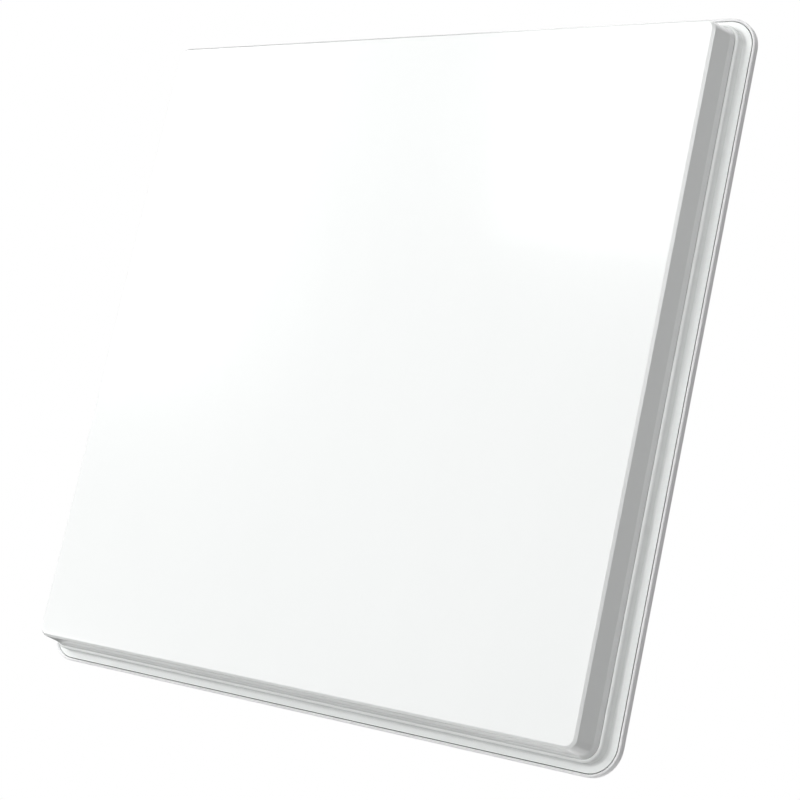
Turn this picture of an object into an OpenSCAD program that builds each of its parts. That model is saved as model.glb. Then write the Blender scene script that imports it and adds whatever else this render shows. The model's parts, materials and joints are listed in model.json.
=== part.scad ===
// Flat antenna panel of an overhead security gate.
//
// The panel is built on its back, as on a bench: z = 0 is the back plane and
// z grows towards the front face. stand() then turns it upright, so that the
// front looks along -Y, Z is up, and the origin is the centre of the wall plate
// on the back plane. All sizes are millimetres.

/* [Panel] */
// Width and height over the outer lip
panel_w = 595; // [560:5:720]
// Depth from the back plane to the front face
panel_depth = 43; // [36:1:56]

/* [Front cover] */
// Thickness of the moulded cover
cover_t = 2.5; // [1.5:0.1:3]
// Corner radius of the cover at its chamfer
cover_corner_r = 9; // [6:0.5:16]
// Chamfer round the front face
cover_chamfer = 2.1; // [0.5:0.1:4]
// How far the side wall leans out over its height
cover_draft = 3.1; // [1:0.1:5]
// Height of the flared band below the side wall
band_h = 5; // [3:0.5:5.5]
// How far the flared band leans out
band_flare = 1.9; // [0.5:0.1:3]
// Screws along each side that hold the cover
cover_screws_per_side = 4; // [3:1:6]

/* [Carrier frame] */
// Height of the frame from its flange to the seam
frame_h = 10.8; // [8:0.1:13]
// Gap between cover and carrier frame, filled by the gasket
seam_gap = 0.5; // [0.3:0.1:0.8]
// Radius of the bead under the seam
bead_r = 2.3; // [1.5:0.1:3]
// Radius of the cove between the frame's wall and its flange
cove_r = 2.5; // [1:0.1:3.5]
// Width of the flange outside the frame's wall
flange_w = 6.6; // [5:0.1:12]
// Thickness of the flange, the wall and the inner ledge
frame_t = 2.5; // [2:0.1:3]
// Width of the inner ledge that carries the cover
ledge_w = 20; // [18:1:26]

/* [Back tray] */
// Thickness of the tray's sheet
tray_t = 2; // [1.5:0.1:3]
// Width of the outer lip
lip_w = 2.3; // [1.8:0.1:4]
// Height of the outer lip above the back plane
lip_h = 6.5; // [6.1:0.1:8]
// Width of the groove between flange and lip
groove_w = 0.5; // [0.3:0.1:1]
// Thickness of the seal under the flange
seal_t = 0.7; // [0.5:0.1:1]
// Screws along each side that hold the carrier frame to the tray
tray_screws_per_side = 4; // [3:1:6]

/* [Antenna] */
// Thickness of the reflector plate
reflector_t = 1.5; // [1:0.1:2]
// Distance from the centre to each patch's centre, across and up
patch_pitch = 130; // [120:1:150]
// Side of each patch
patch_w = 140; // [110:1:160]
// Corner cut of each patch
patch_corner = 16; // [8:1:24]
// Thickness of each patch
patch_t = 1; // [0.5:0.1:1.5]
// Air gap between patch and front cover
patch_cover_gap = 3; // [2:0.1:5]
// Side of the coupler board under each patch
coupler_w = 64; // [60:1:80]
// Distance of each feed pin from its patch's centre
feed_offset = 26; // [20:1:27]

/* [Electronics] */
// Width of the reader board
board_w = 200; // [190:1:230]
// Height of the reader board
board_h = 75; // [70:1:80]
// Thickness of the circuit boards
board_t = 1.6; // [1:0.1:2]
// Clearance under the reader board
board_lift = 3; // [2.5:0.1:4]
// Diameter of the coaxial leads
lead_d = 2.6; // [1.5:0.1:3]
// Bend radius of the coaxial leads
lead_bend = 3.5; // [3:0.1:3.6]
// Width of the port bay
bay_w = 90; // [86:1:100]
// Height of the port bay
bay_h = 65; // [50:1:70]

/* [Wall plate] */
// Width and height of the wall plate
plate_w = 132; // [128:1:140]
// Thickness of the wall plate
plate_t = 2; // [1.5:0.1:2.5]
// Spacing of the fixing holes
fixing_pitch = 100; // [98:1:104]
// Diameter of the fixing holes
fixing_d = 5.5; // [4.5:0.1:6.5]
// Width of the cable window in the plate
window_w = 54; // [40:1:58]
// Shank diameter of the hanging studs
stud_d = 5; // [4:0.1:6]
// Head diameter of the hanging studs
stud_head_d = 9; // [8:0.1:9.4]
// Lift needed to unhook the panel
hook_lift = 12; // [10:1:12]

/* [Release bar] */
// Width of the release bar
bar_w = 10; // [8:0.5:12]
// Thickness of the release bar
bar_t = 1.2; // [1:0.1:1.2]
// Travel of the release bar
bar_travel = 6; // [5:0.5:6.5]
// Outer diameter of the return spring
spring_d = 4; // [3:0.1:4.2]

/* [Reset button] */
// Diameter of the reset button
button_d = 3.9; // [3:0.1:4.5]
// Travel of the reset button
button_travel = 0.8; // [0.4:0.1:0.9]

/* [Hidden] */
PATCH_NAMES = ["upper_left", "upper_right", "lower_left", "lower_right"];

$fn = 48;
cut = 1;              // how far a cutter runs past the surface that it cuts
press_gap = 0.05;     // running clearance of a round piece in its hole
fit_gap = 0.25;       // clearance round a piece that passes through a wall
slide_gap = 0.5;      // clearance beside the release bar

// Offsets outwards from the cover's outline, which is taken at its chamfer
wall_o = cover_draft;
seam_o = wall_o + band_flare;
frame_o = seam_o + bead_r;
flange_o = frame_o + flange_w;
lip_in_o = flange_o + groove_w;
lip_out_o = lip_in_o + lip_w;

// The same corner centres serve the cover, the frame and the tray
cover_half = panel_w / 2 - lip_out_o;
core = cover_half - cover_corner_r;
ledge_half = cover_half + seam_o - ledge_w;

// Heights above the back plane
face_z = panel_depth;
cover_in_z = face_z - cover_t;
seat_z = tray_t + 0.9;
flange_low_z = seat_z + seal_t;
flange_z = flange_low_z + frame_t;
ledge_z = flange_z + frame_h;
seam_z = ledge_z + seam_gap;
wall_z = seam_z + band_h;
board_z = tray_t + board_lift;
board_top_z = board_z + board_t;
ethernet_size = [16, 21, 13.2];
bay_depth = board_top_z + ethernet_size[2] + 0.2;
reflector_z = bay_depth + 2 * tray_t;
reflector_top_z = reflector_z + reflector_t;
patch_z = cover_in_z - patch_cover_gap - patch_t;
coupler_z = reflector_z - board_t;

// Screws: M3 for the casing and the boards, M2.5 for the couplers
m3_r = 1.25;
m3_clear_r = 1.7;
m3_head_r = 2.8;
m3_head_h = 1.8;
csk_h = 1.4;
m25_r = 1;
m25_clear_r = 1.3;
m25_head_r = 2.2;
m25_head_h = 1.4;
boss_r = 4;
boss_line = cover_half - 6;
screw_inset = 60;
recess_share = 0.3;   // depth of the driver's cross, as a share of the head's radius

// Reflector plate
reflector_half = ledge_half - 12;
reflector_boss_out = reflector_half - 12;
reflector_boss_in = board_w / 2 + 2 * boss_r;
post_r = 4;
post_neck_r = 1.95;
post_hole_r = post_neck_r + press_gap;
post_head_r = 3.2;
post_head_h = 1.2;
post_inset = 15;
prop_gap = 0.2;
feed_pin_r = 0.8;
feed_clear_r = 3;

// Wall plate in its recess
plate_half = plate_w / 2;
plate_corner_r = 6;
recess_half = plate_half + 4;
recess_depth = 7;
pad_w = 24;
pad_h = 30;
pad_z = plate_t + 0.5;
pad_x = 22;
pad_y = plate_half - pad_h / 2 - 3;
stud_y = hook_lift / 2;
stud_head_h = 1.6;
stud_gap = 0.1;

// Port bay and reader board below the wall plate
bay_top = -recess_half - 15;
bay_low = bay_top - bay_h;
channel_w = 24;
board_top_y = bay_low - tray_t - 1.2;
board_low_y = board_top_y - board_h;
board_mid_y = (board_top_y + board_low_y) / 2;
board_screw_x = board_w / 2 - 7;
jack_x = board_w / 2 - 15;
jack_rows = [board_top_y - 12, board_low_y + 13];
jack_r = 2.5;
jack_h = 4;
lead_z = board_top_z + jack_h + lead_bend + 0.4;
lead_outer_x = patch_pitch + 15;

// Sockets on the bay's lower wall: place, width, height and length
ethernet_x = -33;
ethernet_socket = [11.8, 12, 8];
io_x = -9;
io_size = [17, 12, 9];
io_socket = [14, 7, 7];
io_ways = 4;
io_pitch = 3.5;
io_body = [15.4, 11, 8.6];
console_x = 10;
console_size = [9, 7.4, 3.3];
console_wall = 0.4;
button_x = 24;
button_z = board_top_z + 3;
button_collar_r = 2.8;
button_collar_t = 0.8;
button_stem = 5;
button_proud = button_travel + 0.2;
collar_y = bay_low - tray_t - 0.2;
switch_size = [6, 4, 5];
status_x = 37;
pipe_r = 1.5;
pipe_l = 8;
led_size = [3, 2, 3];

// Board parts
shield_size = [80, 44, 5.5];
shield_x = -20;
shield_y = board_low_y + 28;
shield_t = 0.5;
pad_size = [50, 40];
transformer_size = [16, 14, 10];
transformer_x = 50;
capacitor_r = 4;
capacitor_h = 10;
capacitor_x = [66, 76];
chip_size = [12, 12, 1.2];
chip_places = [[-40, 0], [-14, 0], [8, 0]];

// Release bar in its groove, on the side away from the ports' lead-out
bar_z = 0.8;
groove_depth = bar_z + bar_t + 0.4;
groove_half = bar_w / 2 + slide_gap;
nose_depth = 5;
nose_x = -(plate_half - nose_depth);
bar_end_x = -(panel_w / 2 - 0.6);
strap_size = [6, 26, 0.6];
strap_places = [0.3, 0.6, 0.9];   // shares of the groove's length
rivet_r = 1.2;
rivet_head_r = 2;
rivet_head_h = 0.8;
rivet_y = 10;
arm_w = 3;
arm_reach = spring_d + slide_gap;
spring_l = 18;
spring_pocket_depth = 5.4;
anchor_t = 2;
spring_end_x = -recess_half - 6;
arm_x = spring_end_x - anchor_t - spring_l;
spring_y = groove_half + spring_d / 2;
bar_groove_l = cover_half - recess_half;
bar_groove_x = -recess_half - bar_groove_l / 2;
strap_xs = [for (p = strap_places) -recess_half - p * bar_groove_l];
spring_pocket = [spring_l + anchor_t + arm_w + 2 * bar_travel, spring_y + spring_d / 2 + slide_gap];
spring_pocket_x = spring_end_x - spring_pocket[0] / 2;
spring_pocket_y = spring_pocket[1] / 2;

// Ground point, lanyard pocket and rating plate
ground_x = recess_half + 45;
ground_y = bay_low + 35;
ground_pocket = 18;
ground_depth = 5.4;
ground_r = 2;
ground_head_r = 3.8;
ground_head_h = 3;
ground_washer_r = 5;
ground_washer_t = 1;
ground_nut_r = 4;
ground_nut_t = 3.2;
lanyard_y = recess_half + 100;
lanyard_size = [28, 24];
lanyard_depth = 11;
lanyard_bar_r = 2;
lanyard_bar_z = 3;
lanyard_seat = 1.5;
rating_size = [70, 40];
rating_x = recess_half + 60;
rating_y = 90;
rating_t = 0.4;

// Place of a profile point: offset from the cover's outline, and height
function at(o, z) = [cover_corner_r + o, z];

// Points along an arc of n steps
function arc(c, r, from, to, n = 8) =
  [for (i = [0:n]) let (a = from + (to - from) * i / n) c + r * [cos(a), sin(a)]];

// Centre of one patch, by its index in PATCH_NAMES
function patch_side(i) = i % 2 == 0 ? -1 : 1;
function patch_level(i) = i < 2 ? 1 : -1;
function patch_centre(i) = [patch_side(i) * patch_pitch, patch_level(i) * patch_pitch];

// Evenly spread places along one side
function spread(n, reach) = [for (i = [0:n - 1]) -reach + 2 * reach * i / (n - 1)];

cover_screw_places = spread(cover_screws_per_side, core - screw_inset);
tray_screw_places = spread(tray_screws_per_side, core - screw_inset / 3);
reflector_places = concat(
  [for (x = [-reflector_boss_out, -reflector_boss_in, reflector_boss_in, reflector_boss_out])
    for (y = [-reflector_boss_out, reflector_boss_out]) [x, y]],
  [for (x = [-reflector_boss_out, reflector_boss_out])
    for (y = [-reflector_boss_in, reflector_boss_in]) [x, y]]);
prop_places = [[0, 0], [patch_pitch, 0], [-patch_pitch, 0], [0, patch_pitch], [0, -patch_pitch]];
post_places = concat([[0, 0]],
  [for (x = [-1, 1]) for (y = [-1, 1]) [x, y] * (patch_w / 2 - post_inset)]);
coupler_screw_places = [for (x = [-1, 1]) for (y = [-1, 1]) [x, y] * (coupler_w / 2 - 5)];
board_screw_places = [for (x = [-board_screw_x, board_screw_x])
  for (y = [board_top_y - 4, board_low_y + 4]) [x, y]];
stud_places = [for (x = [-pad_x, pad_x]) for (y = [-pad_y, pad_y]) [x, y - stud_y]];
clip_places = [for (x = [-lead_outer_x, lead_outer_x]) for (y = [-60, 40]) [x, y]];

module stand() {
  rotate([90, 0, 0]) children();
}

// Carries a profile round the rounded square whose corner centres lie at core
module rim() {
  for (quarter = [0:3])
    rotate(quarter * 90) translate([core, core, 0]) {
      rotate_extrude(angle = 90, $fn = 96) children();
      rotate([90, 0, 0]) linear_extrude(2 * core) children();
    }
}

module slab(half, low, high) {
  translate([-half, -half, low]) cube([2 * half, 2 * half, high - low]);
}

// Box given by its middle in x and y, its size and its underside
module block(size, x = 0, y = 0, low = 0) {
  translate([x - size[0] / 2, y - size[1] / 2, low]) cube(size);
}

module disc(r, low, high) {
  translate([0, 0, low]) cylinder(r = r, h = high - low);
}

module each_at(places) {
  for (p = places) translate([p[0], p[1], 0]) children();
}

// The same row of places along all four sides
module along_sides(places) {
  for (quarter = [0:3])
    rotate(quarter * 90) for (t = places) translate([t, boss_line, 0]) children();
}

module round_slab(half, r, low, high) {
  translate([0, 0, low]) linear_extrude(high - low) {
    square([2 * half, 2 * (half - r)], center = true);
    square([2 * (half - r), 2 * half], center = true);
    for (x = [-1, 1]) for (y = [-1, 1])
      translate([x, y] * (half - r)) circle(r);
  }
}

// Screw whose head rises from its seat by head_h, downwards where that is negative
module pan_head_screw(r, head_r, head_h, seat, tip) {
  top = seat + head_h;
  difference() {
    disc(head_r, min(seat, top), max(seat, top));
    translate([0, 0, top]) cross_recess(head_r);
  }
  disc(r, min(seat, tip), max(seat, tip));
}

// Cutter for the driver's cross, half of it on each side of its own origin
module cross_recess(head_r) {
  for (turn = [0, 90]) rotate(turn)
    block([head_r * 1.2, head_r * 0.3, 2 * recess_share * head_r], 0, 0, -recess_share * head_r);
}

// ---- Casing ----

module cover_profile() {
  polygon([
    [0, face_z], at(-cover_chamfer, face_z), at(0, face_z - cover_chamfer),
    at(wall_o, wall_z), at(seam_o, seam_z), at(seam_o - cover_t, seam_z),
    at(wall_o - cover_t, wall_z), at(-cover_t, cover_in_z), [0, cover_in_z]
  ]);
}

module front_cover() {
  color("white") stand() difference() {
    union() {
      rim() cover_profile();
      slab(core, cover_in_z, face_z);
      along_sides(cover_screw_places) disc(boss_r, ledge_z, cover_in_z + cut / 2);
    }
    along_sides(cover_screw_places) disc(m3_r, ledge_z - cut, ledge_z + 14);
  }
}

module cover_gasket() {
  color("dimgray") stand() rim()
    polygon([at(seam_o - cover_t, ledge_z), at(seam_o - 0.6, ledge_z),
      at(seam_o - 0.6, seam_z), at(seam_o - cover_t, seam_z)]);
}

module frame_profile() {
  polygon(concat(
    [[0, ledge_z - frame_t], [0, ledge_z]],
    arc(at(seam_o, ledge_z - bead_r), bead_r, 90, 0),
    arc(at(frame_o + cove_r, flange_z + cove_r), cove_r, 180, 270),
    [at(flange_o, flange_z), at(flange_o, flange_low_z),
      at(frame_o - frame_t, flange_low_z), at(frame_o - frame_t, ledge_z - frame_t)]));
}

module carrier_frame() {
  color("whitesmoke") stand() difference() {
    union() {
      rim() frame_profile();
      difference() {
        slab(core, ledge_z - frame_t, ledge_z);
        slab(ledge_half, ledge_z - frame_t - cut, ledge_z + cut);
      }
      along_sides(tray_screw_places) disc(boss_r, tray_t, ledge_z - frame_t + cut);
    }
    along_sides(tray_screw_places) disc(m3_r, tray_t - cut, ledge_z - frame_t - 1);
    along_sides(cover_screw_places) disc(m3_clear_r, ledge_z - frame_t - cut, ledge_z + cut);
  }
}

module edge_seal() {
  color("dimgray") stand() rim()
    polygon([at(frame_o - frame_t + 1, seat_z), at(lip_in_o, seat_z), at(lip_in_o, flange_z - 1),
      at(flange_o, flange_z - 1), at(flange_o, flange_low_z),
      at(frame_o - frame_t + 1, flange_low_z)]);
}

module tray_profile() {
  lip_r = lip_w / 2;
  foot_r = 0.8;
  polygon(concat(
    [[0, 0]],
    arc(at(lip_out_o - foot_r, foot_r), foot_r, -90, 0),
    arc(at(lip_out_o - lip_r, lip_h - lip_r), lip_r, 0, 180, 16),
    [at(lip_in_o, seat_z), at(frame_o - frame_t + 1, seat_z),
      at(frame_o - frame_t + 1, tray_t), [0, tray_t]]));
}

// A pan pressed inwards from the back: first its outside, then its hollow
module pan_outside(size, depth, x = 0, y = 0) {
  block([size[0] + 2 * tray_t, size[1] + 2 * tray_t, depth + tray_t], x, y);
}

module pan_hollow(size, depth, x = 0, y = 0) {
  block([size[0], size[1], depth + cut], x, y, -cut);
}

module tray_outsides() {
  pan_outside([2 * recess_half, 2 * recess_half], recess_depth);
  pan_outside([bay_w, bay_h], bay_depth, 0, (bay_top + bay_low) / 2);
  pan_outside([channel_w, -recess_half - bay_top], recess_depth, 0, (bay_top - recess_half) / 2);
  pan_outside([bar_groove_l, 2 * groove_half], groove_depth, bar_groove_x);
  pan_outside(spring_pocket, spring_pocket_depth, spring_pocket_x, spring_pocket_y);
  pan_outside([ground_pocket, ground_pocket], ground_depth, ground_x, ground_y);
  pan_outside(lanyard_size, lanyard_depth, 0, lanyard_y);
}

module tray_hollows() {
  pan_hollow([2 * recess_half, 2 * recess_half], recess_depth);
  pan_hollow([bay_w, bay_h], bay_depth, 0, (bay_top + bay_low) / 2);
  pan_hollow([channel_w, -recess_half - bay_top + 2 * cut], recess_depth,
    0, (bay_top - recess_half) / 2);
  translate([-panel_w, -groove_half, -cut])
    cube([panel_w - recess_half + cut, 2 * groove_half, groove_depth + cut]);
  pan_hollow(spring_pocket, spring_pocket_depth, spring_pocket_x, spring_pocket_y);
  pan_hollow([ground_pocket, ground_pocket], ground_depth, ground_x, ground_y);
  pan_hollow(lanyard_size, lanyard_depth, 0, lanyard_y);
  pan_hollow(rating_size, rating_t, rating_x, rating_y);
  for (x = strap_xs) pan_hollow([strap_size[0], strap_size[1]], strap_size[2], x);
}

// Holes in the bay's lower wall for the sockets, the button and the light pipe
module bay_wall_holes() {
  wall_y = bay_low - tray_t / 2;
  wall_cut = tray_t + 2 * cut;
  gap = 2 * fit_gap;
  block([ethernet_size[0] + gap, wall_cut, ethernet_size[2] + gap], ethernet_x, wall_y,
    board_top_z - fit_gap);
  block([io_size[0] + gap, wall_cut, io_size[2] + gap], io_x, wall_y, board_top_z - fit_gap);
  block([console_size[0] + gap, wall_cut, console_size[2] + gap], console_x, wall_y,
    board_top_z - fit_gap);
  translate([button_x, wall_y, button_z]) rotate([90, 0, 0])
    cylinder(r = button_d / 2 + press_gap, h = wall_cut, center = true);
  translate([status_x, wall_y, board_top_z + led_size[2] / 2]) rotate([90, 0, 0])
    cylinder(r = pipe_r + press_gap, h = wall_cut, center = true);
}

module back_tray() {
  color("gainsboro") stand() difference() {
    union() {
      rim() tray_profile();
      slab(core, 0, tray_t);
      tray_outsides();
      each_at(reflector_places) disc(boss_r, 0, reflector_z);
    }
    tray_hollows();
    bay_wall_holes();
    each_at(reflector_places) disc(m3_r, reflector_z - 12, reflector_z + cut);
    along_sides(tray_screw_places) {
      disc(m3_clear_r, -cut, tray_t + cut);
      translate([0, 0, -0.01]) cylinder(r1 = m3_head_r + 0.1, r2 = m3_clear_r, h = csk_h);
    }
    each_at(stud_places) disc(stud_d / 2 - 0.5, recess_depth - cut, recess_depth + tray_t + cut);
    for (x = strap_xs) for (y = [-rivet_y, rivet_y])
      translate([x, y, 0]) disc(rivet_r, -cut, tray_t + cut);
    translate([ground_x, ground_y, 0])
      disc(ground_r, ground_depth - cut, ground_depth + tray_t + cut);
    lanyard_bar_solid();
  }
}

module cover_screws() {
  color("silver") stand() along_sides(cover_screw_places)
    pan_head_screw(m3_r, m3_head_r, -m3_head_h, ledge_z - frame_t, ledge_z + 10);
}

module tray_screws() {
  color("silver") stand() along_sides(tray_screw_places) difference() {
    union() {
      cylinder(r1 = m3_head_r, r2 = m3_r, h = csk_h);
      disc(m3_r, csk_h, ledge_z - frame_t - 3);
    }
    cross_recess(m3_head_r);
  }
}

// ---- Antenna ----

module reflector_plate() {
  color("silver") stand() difference() {
    slab(reflector_half, reflector_z, reflector_top_z);
    for (i = [0:3]) translate(patch_centre(i)) {
      each_at(post_places) disc(post_hole_r, reflector_z - cut, reflector_top_z + cut);
      each_at(coupler_screw_places) disc(m25_r, reflector_z - cut, reflector_top_z + cut);
      feed_places(i) disc(feed_clear_r, reflector_z - cut, reflector_top_z + cut);
    }
    each_at(prop_places) disc(post_hole_r, reflector_z - cut, reflector_top_z + cut);
    each_at(reflector_places) disc(m3_clear_r, reflector_z - cut, reflector_top_z + cut);
  }
}

// The two feed points of a patch, on the sides towards the panel's centre
module feed_places(i) {
  translate([-patch_side(i) * feed_offset, 0]) children();
  translate([0, -patch_level(i) * feed_offset]) children();
}

module reflector_screws() {
  color("silver") stand() each_at(reflector_places)
    pan_head_screw(m3_r, m3_head_r, m3_head_h, reflector_top_z, reflector_z - 8);
}

module antenna_patch(i) {
  half = patch_w / 2;
  near = half - patch_corner;
  color("goldenrod") stand() translate(patch_centre(i)) difference() {
    translate([0, 0, patch_z]) linear_extrude(patch_t) rotate(patch_level(i) > 0 ? 0 : 90)
      polygon([[-half, -half], [near, -half], [half, -near], [half, half], [-near, half],
        [-half, near]]);
    each_at(post_places) disc(post_hole_r, patch_z - cut, patch_z + patch_t + cut);
  }
}

// Snap-in post: foot under the reflector, neck, body, neck and head
module snap_post(body_top, has_head) {
  disc(post_head_r, reflector_z - post_head_h, reflector_z);
  disc(post_neck_r, reflector_z, reflector_top_z);
  disc(post_r, reflector_top_z, body_top);
  if (has_head) {
    disc(post_neck_r, body_top, body_top + patch_t);
    disc(post_head_r, body_top + patch_t, body_top + patch_t + post_head_h);
  }
}

module patch_posts() {
  color("ivory") stand() for (i = [0:3]) translate(patch_centre(i))
    each_at(post_places) snap_post(patch_z, true);
}

module cover_props() {
  color("ivory") stand() each_at(prop_places) snap_post(cover_in_z - prop_gap, false);
}

module coupler_board(i) {
  color("darkgreen") stand() translate(patch_centre(i)) difference() {
    block([coupler_w, coupler_w, board_t], 0, 0, coupler_z);
    disc(post_head_r + fit_gap, coupler_z - cut, reflector_z + cut);
    each_at(coupler_screw_places) disc(m25_clear_r, coupler_z - cut, reflector_z + cut);
  }
}

module coupler_screws() {
  color("silver") stand() for (i = [0:3]) translate(patch_centre(i)) each_at(coupler_screw_places)
    pan_head_screw(m25_r, m25_head_r, -m25_head_h, coupler_z, reflector_top_z);
}

function coupler_jack(i) = patch_level(i) > 0
  ? [patch_side(i) * lead_outer_x, patch_centre(i)[1] - 12]
  : patch_centre(i) + [0, -12];
function board_jack(i) = [patch_side(i) * jack_x, jack_rows[patch_level(i) > 0 ? 1 : 0]];

module coupler_jacks() {
  color("gold") stand() for (i = [0:3]) translate(coupler_jack(i))
    disc(jack_r, coupler_z - jack_h, coupler_z);
}

module feed_pins() {
  color("gold") stand() for (i = [0:3]) translate(patch_centre(i))
    feed_places(i) disc(feed_pin_r, reflector_z, patch_z);
}

// Quarter bend at a corner where the route turns from direction a to direction b
module quarter_bend(corner, a, b, r, bend) {
  x = -b;
  z = cross(x, a);
  c = corner - bend * a + bend * b;
  multmatrix([
    [x[0], a[0], z[0], c[0]], [x[1], a[1], z[1], c[1]],
    [x[2], a[2], z[2], c[2]], [0, 0, 0, 1]])
    rotate_extrude(angle = 90) translate([bend, 0]) circle(r, $fn = 24);
}

module straight(from, to, r) {
  run = to - from;
  flat = norm([run[0], run[1]]);
  translate(from) rotate([0, atan2(flat, run[2]), atan2(run[1], run[0])])
    cylinder(r = r, h = norm(run), $fn = 24);
}

// Round lead through corner points; each stretch lies along one axis
module lead_route(points, r, bend) {
  last = len(points) - 1;
  ways = [for (i = [0:last - 1]) (points[i + 1] - points[i]) / norm(points[i + 1] - points[i])];
  for (i = [0:last - 1])
    straight(points[i] + (i == 0 ? 0 : bend) * ways[i],
      points[i + 1] - (i == last - 1 ? 0 : bend) * ways[i], r);
  for (i = [1:last - 1]) quarter_bend(points[i], ways[i - 1], ways[i], r, bend);
}

module coax_lead(i) {
  from = board_jack(i);
  to = coupler_jack(i);
  color("black") stand() lead_route([
    [from[0], from[1], board_top_z + jack_h], [from[0], from[1], lead_z],
    [to[0], from[1], lead_z], [to[0], to[1], lead_z],
    [to[0], to[1], coupler_z - jack_h]], lead_d / 2, lead_bend);
}

module lead_clips() {
  color("ivory") stand() each_at(clip_places) difference() {
    block([lead_d + 3, 6, lead_z - tray_t], 0, 0, tray_t);
    translate([0, 0, lead_z]) rotate([90, 0, 0])
      cylinder(r = lead_d / 2 + press_gap, h = 6 + 2 * cut, center = true);
  }
}

// ---- Reader electronics ----

module reader_board() {
  color("darkgreen") stand() difference() {
    block([board_w, board_h, board_t], 0, board_mid_y, board_z);
    each_at(board_screw_places) disc(m3_clear_r, board_z - cut, board_top_z + cut);
  }
}

module board_standoffs() {
  color("gold") stand() each_at(board_screw_places) difference() {
    disc(boss_r - 1, tray_t, board_z);
    disc(m3_r, tray_t + 0.5, board_z + cut);
  }
}

module board_screws() {
  color("silver") stand() each_at(board_screw_places)
    pan_head_screw(m3_r, m3_head_r, m3_head_h, board_top_z, tray_t + 0.5);
}

module board_jacks() {
  color("gold") stand() for (i = [0:3]) translate(board_jack(i))
    disc(jack_r, board_top_z, board_top_z + jack_h);
}

module board_chips() {
  color("black") stand() for (p = chip_places)
    block(chip_size, shield_x + 12 + p[0], shield_y + p[1], board_top_z);
}

module board_capacitors() {
  color("dimgray") stand() for (x = capacitor_x)
    translate([x, board_mid_y, 0]) disc(capacitor_r, board_top_z, board_top_z + capacitor_h);
}

module power_transformer() {
  color("khaki") stand() block(transformer_size, transformer_x, board_mid_y, board_top_z);
}

module reader_shield() {
  inside = [shield_size[0] - 2 * shield_t, shield_size[1] - 2 * shield_t, shield_size[2]];
  color("silver") stand() difference() {
    block(shield_size, shield_x, shield_y, board_top_z);
    block(inside, shield_x, shield_y, board_top_z - shield_t);
  }
}

module thermal_pad() {
  color("lightblue") stand() block([pad_size[0], pad_size[1], board_lift], shield_x, shield_y, tray_t);
}

// A socket whose mouth is flush with the inside of the bay's lower wall
module socket(x, size, hollow) {
  difference() {
    block(size, x, bay_low - size[1] / 2, board_top_z);
    block([hollow[0], hollow[1] + cut, hollow[2]], x, bay_low - (hollow[1] - cut) / 2,
      board_top_z + (size[2] - hollow[2]) / 2);
  }
}

module ethernet_jack() {
  color("silver") stand() socket(ethernet_x, ethernet_size, ethernet_socket);
}

module io_header() {
  color("green") stand() socket(io_x, io_size, io_socket);
}

module io_plug() {
  tongue = [io_socket[0] - 2 * fit_gap, io_socket[1] - fit_gap, io_socket[2] - 2 * fit_gap];
  mid_z = board_top_z + io_size[2] / 2;
  low = mid_z - io_body[2] / 2;
  color("green") stand() difference() {
    union() {
      block(tongue, io_x, bay_low - tongue[1] / 2, mid_z - tongue[2] / 2);
      block(io_body, io_x, bay_low + io_body[1] / 2, low);
    }
    for (way = [0:io_ways - 1]) translate([io_x + (way - (io_ways - 1) / 2) * io_pitch, 0, 0]) {
      translate([0, bay_low + io_body[1] - 6, mid_z]) rotate([-90, 0, 0])
        cylinder(r = 1.2, h = 6 + cut);
      translate([0, bay_low + io_body[1] / 2, low - cut]) cylinder(r = 1.3, h = cut + 1.5);
    }
  }
}

module console_port() {
  hollow = [console_size[0] - 2 * console_wall, console_size[1] - 1,
    console_size[2] - 2 * console_wall];
  color("silver") stand() socket(console_x, console_size, hollow);
}

module status_led() {
  color("lime") stand()
    block(led_size, status_x, bay_low - pipe_l - led_size[1] / 2, board_top_z);
}

module status_light_pipe() {
  color("azure") stand() translate([status_x, bay_low + 0.5, board_top_z + led_size[2] / 2])
    rotate([90, 0, 0]) cylinder(r = pipe_r, h = pipe_l + 0.5);
}

module reset_button() {
  color("orangered") stand() translate([button_x, 0, button_z]) rotate([90, 0, 0]) {
    translate([0, 0, -bay_low - button_proud])
      cylinder(r = button_d / 2, h = tray_t + 0.2 + button_proud + button_stem);
    translate([0, 0, -collar_y]) cylinder(r = button_collar_r, h = button_collar_t);
  }
}

module reset_switch() {
  face_y = collar_y - button_stem - button_travel - 0.1;
  color("black") stand() block(switch_size, button_x, face_y - switch_size[1] / 2, board_top_z);
}

// ---- Back fittings ----

module ground_screw() {
  seat = ground_depth - ground_washer_t;
  color("silver") stand() translate([ground_x, ground_y, 0])
    pan_head_screw(ground_r, ground_head_r, -ground_head_h, seat,
      ground_depth + tray_t + ground_nut_t + 1);
}

module ground_washer() {
  color("gold") stand() translate([ground_x, ground_y, 0]) difference() {
    disc(ground_washer_r, ground_depth - ground_washer_t, ground_depth);
    disc(ground_r, 0, ground_depth + cut);
  }
}

module ground_nut() {
  low = ground_depth + tray_t;
  color("gold") stand() translate([ground_x, ground_y, 0]) difference() {
    translate([0, 0, low]) cylinder(r = ground_nut_r, h = ground_nut_t, $fn = 6);
    disc(ground_r, low - cut, low + ground_nut_t + cut);
  }
}

module lanyard_bar_solid() {
  half_l = lanyard_size[0] / 2 + lanyard_seat;
  translate([-half_l, lanyard_y, lanyard_bar_z]) rotate([0, 90, 0])
    cylinder(r = lanyard_bar_r, h = 2 * half_l);
}

module lanyard_bar() {
  color("silver") stand() lanyard_bar_solid();
}

module rating_plate() {
  color("silver") stand()
    block([rating_size[0] - 2 * fit_gap, rating_size[1] - 2 * fit_gap, rating_t],
      rating_x, rating_y, 0);
}

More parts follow.
